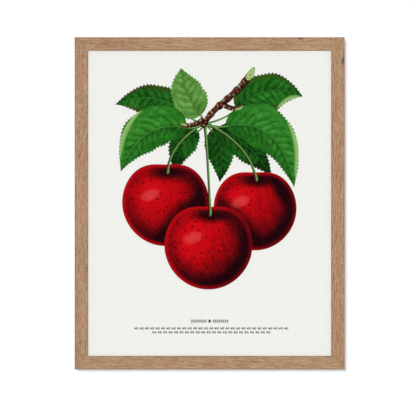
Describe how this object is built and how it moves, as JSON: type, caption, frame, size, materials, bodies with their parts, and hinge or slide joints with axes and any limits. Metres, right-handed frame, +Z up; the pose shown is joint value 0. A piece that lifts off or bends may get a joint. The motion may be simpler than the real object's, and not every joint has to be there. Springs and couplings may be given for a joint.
{
  "type": "framed print",
  "caption": "Wall-hung framed print: a mitred oak frame around glass, a paper print and a back panel, with a sawtooth hanger on the top rail's back.",
  "frame": {"origin": "the hanging point: the middle notch of the sawtooth hanger, in the plane of the wall", "axes": "+Z up along the frame's height; -Y is the way the print faces; +Y points into the wall; +X is right as seen from the front"},
  "size_m": [0.434, 0.025, 0.534],
  "materials": {
    "oak": "matte",
    "picture_glass": "polished",
    "art_paper": "matte",
    "fibreboard": "matte",
    "spring_steel": "satin",
    "brassed_steel": "satin",
    "rubber": "matte"
  },
  "bodies": {
    "root": {"rail_top": "oak", "rail_bottom": "oak", "stile_left": "oak", "stile_right": "oak", "glazing": "picture_glass", "print_sheet": "art_paper", "back_panel": "fibreboard", "spring_point_01": "spring_steel", "spring_point_02": "spring_steel", "spring_point_03": "spring_steel", "spring_point_04": "spring_steel", "spring_point_05": "spring_steel", "spring_point_06": "spring_steel", "spring_point_07": "spring_steel", "spring_point_08": "spring_steel", "spring_point_09": "spring_steel", "spring_point_10": "spring_steel", "corner_nail_1": "spring_steel", "corner_nail_2": "spring_steel", "corner_nail_3": "spring_steel", "corner_nail_4": "spring_steel", "corner_nail_5": "spring_steel", "corner_nail_6": "spring_steel", "corner_nail_7": "spring_steel", "corner_nail_8": "spring_steel", "sawtooth_hanger": "brassed_steel", "hanger_screw_left": "brassed_steel", "hanger_screw_right": "brassed_steel", "bumper_left": "rubber", "bumper_right": "rubber"}
  },
  "joints": []
}
